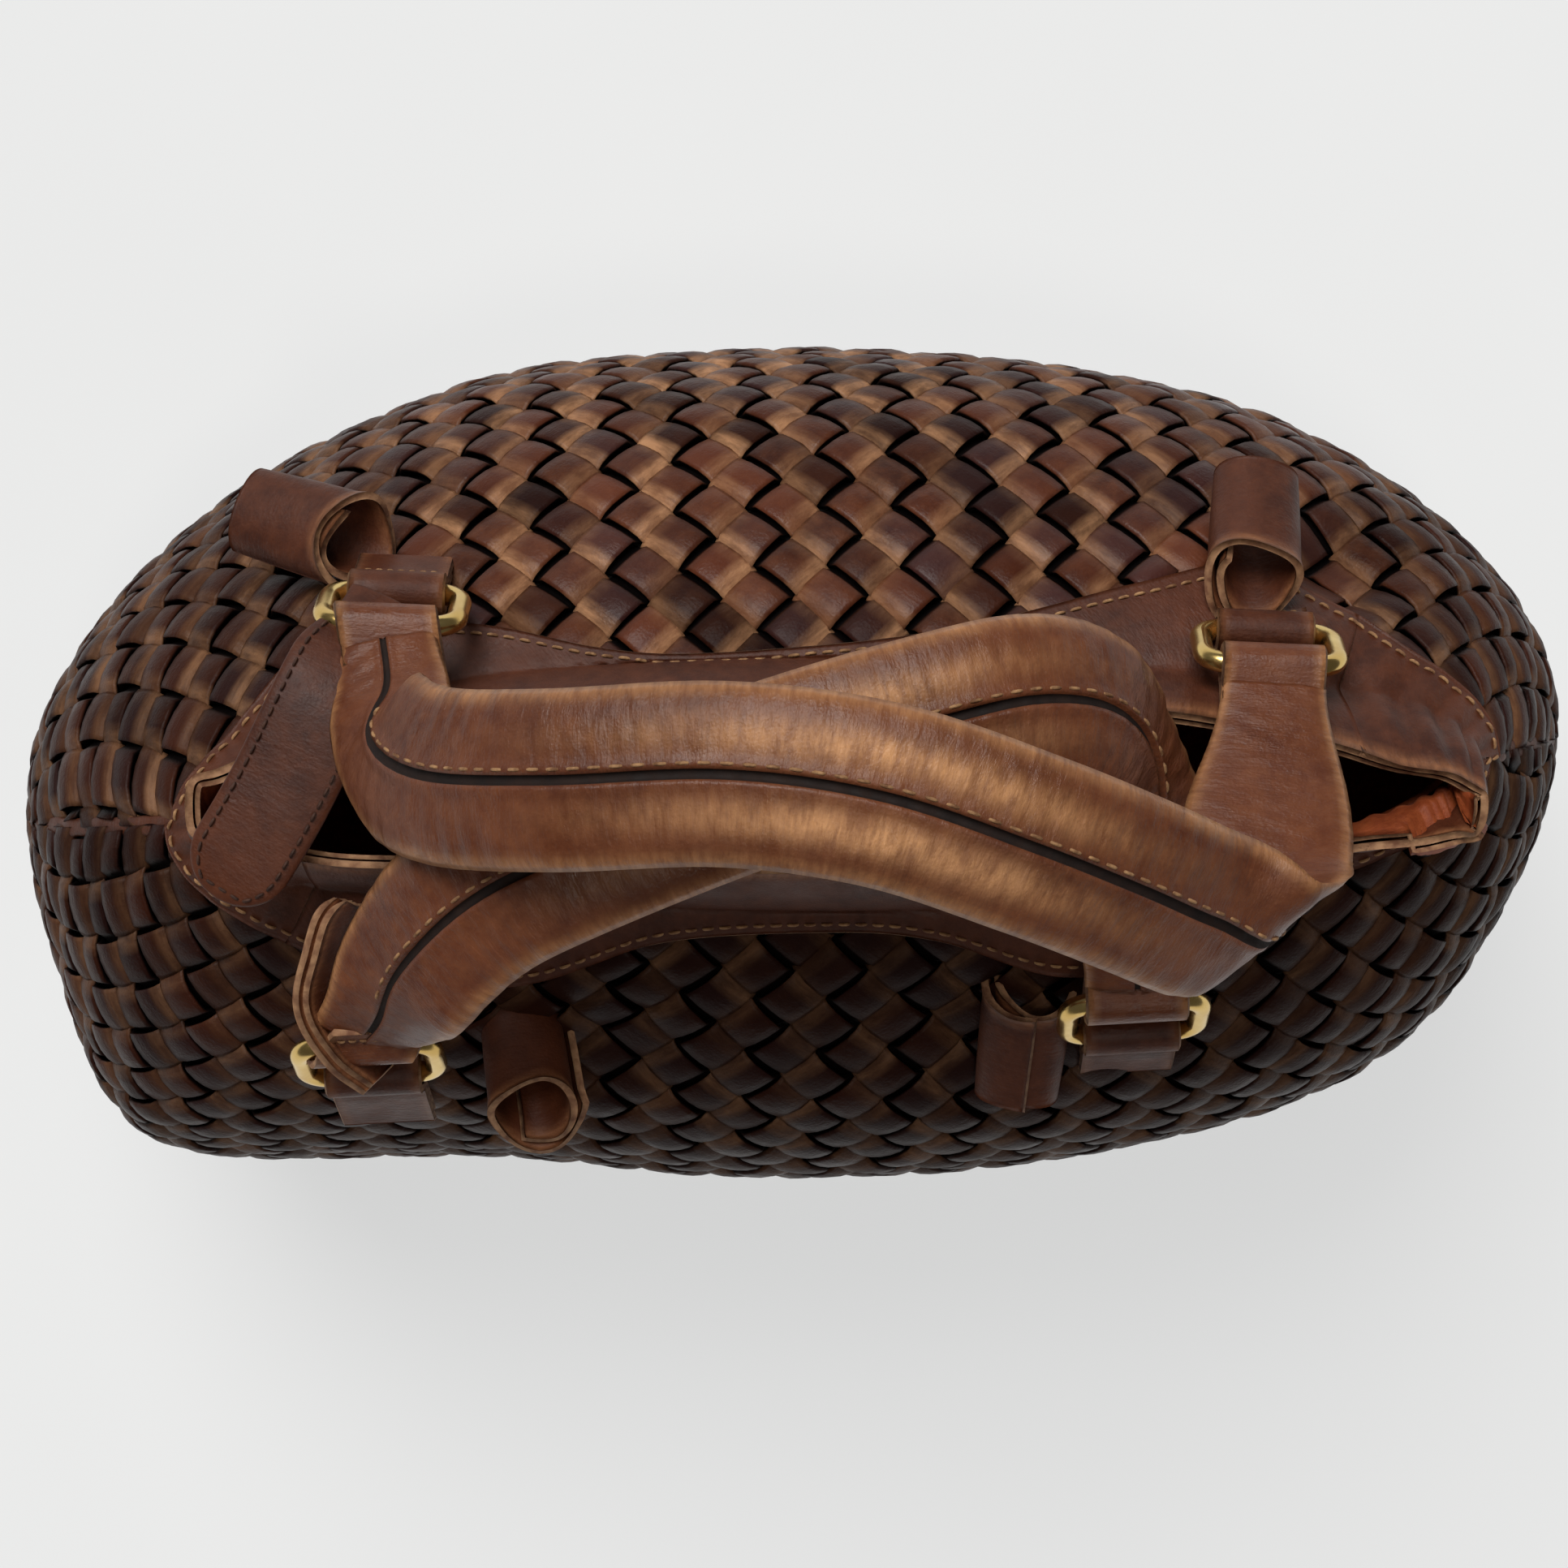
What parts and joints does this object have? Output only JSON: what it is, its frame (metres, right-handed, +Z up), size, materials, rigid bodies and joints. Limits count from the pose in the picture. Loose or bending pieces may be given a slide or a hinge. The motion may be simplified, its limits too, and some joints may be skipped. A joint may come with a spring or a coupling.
{
  "type": "handbag",
  "caption": "Woven leather handbag with a flat base, an open mouth and two padded handles on brass rings that swing up together.",
  "frame": {"origin": "middle of the bounding box at the height of the flat base", "axes": "+X along the bag's length to its right, +Y to its back, +Z up out of the mouth"},
  "size_m": [0.41, 0.222, 0.3356],
  "materials": {
    "woven_leather": "soft brown leather strips woven over and under on the bias, cell tints from brown to plum, worn pale on the edges",
    "smooth_leather": "smooth brown leather with a soft sheen and raw tan edges",
    "handle_leather": "waxy smooth brown leather, lighter where it is worn",
    "lining_leather": "soft orange-brown suede",
    "base_leather": "plain brown leather",
    "handle_core": "soft cotton padding, hidden in the handle",
    "board": "grey-brown stiffening board, hidden under the lining",
    "brass": "polished pale gold"
  },
  "bodies": {
    "bag": {"back_left_tail": "smooth_leather", "base_board": "board", "base_panel": "base_leather", "lining": "lining_leather", "loop_tab_back_left": "smooth_leather", "loop_tab_back_right": "smooth_leather", "loop_tab_front_left": "smooth_leather", "loop_tab_front_right": "smooth_leather", "pleat_tube_back_left": "smooth_leather", "pleat_tube_back_right": "smooth_leather", "pleat_tube_front_left": "smooth_leather", "pleat_tube_front_right": "smooth_leather", "rim_band_back": "smooth_leather", "rim_band_front": "smooth_leather", "rim_band_left": "smooth_leather", "rim_band_right": "smooth_leather", "woven_back": "woven_leather", "woven_front": "woven_leather", "woven_left_end": "woven_leather", "woven_right_end": "woven_leather"},
    "ring_back_left": {"ring_back_left": "brass"},
    "ring_back_right": {"ring_back_right": "brass"},
    "handle_back": {"handle_back_wrap": "handle_leather", "handle_back_core": "handle_core", "handle_back_loop_left": "handle_leather", "handle_back_loop_right": "handle_leather"},
    "ring_front_right": {"ring_front_right": "brass"},
    "ring_front_left": {"ring_front_left": "brass"},
    "handle_front": {"handle_front_wrap": "handle_leather", "handle_front_core": "handle_core", "handle_front_loop_left": "handle_leather", "handle_front_loop_right": "handle_leather"}
  },
  "joints": [
    {"name": "ring_back_left_swing", "type": "hinge", "parent": "bag", "child": "ring_back_left", "pos_m": [-0.0929, 0.03913, 0.231], "axis": [-0.999, 0.0454, 0], "range_deg": [0, 24.5]},
    {"name": "ring_back_right_swing", "type": "hinge", "parent": "bag", "child": "ring_back_right", "pos_m": [0.11089, 0.02987, 0.231], "axis": [-0.999, 0.0454, 0], "range_deg": [0, 24.5]},
    {"name": "handle_back_swing", "type": "hinge", "parent": "ring_back_left", "child": "handle_back", "pos_m": [0.00862, 0.02606, 0.24913], "axis": [-0.999, 0.0454, 0], "range_deg": [0, 70]},
    {"name": "ring_front_right_swing", "type": "hinge", "parent": "bag", "child": "ring_front_right", "pos_m": [0.08036, -0.06498, 0.222], "axis": [0.9984, 0.0558, 0], "range_deg": [0, 24.5]},
    {"name": "ring_front_left_swing", "type": "hinge", "parent": "bag", "child": "ring_front_left", "pos_m": [-0.09936, -0.07502, 0.222], "axis": [0.9984, 0.0558, 0], "range_deg": [0, 24.5]},
    {"name": "handle_front_swing", "type": "hinge", "parent": "ring_front_left", "child": "handle_front", "pos_m": [-0.00997, -0.06156, 0.24013], "axis": [0.9984, 0.0558, 0], "range_deg": [0, 52.5]}
  ],
  "couplings": [
    {"joint": "ring_back_left_swing", "follows": "handle_back_swing", "ratio": 0.35},
    {"joint": "ring_back_right_swing", "follows": "handle_back_swing", "ratio": 0.35},
    {"joint": "ring_front_right_swing", "follows": "handle_back_swing", "ratio": 0.35},
    {"joint": "ring_front_left_swing", "follows": "handle_back_swing", "ratio": 0.35},
    {"joint": "handle_front_swing", "follows": "handle_back_swing", "ratio": 0.75}
  ]
}
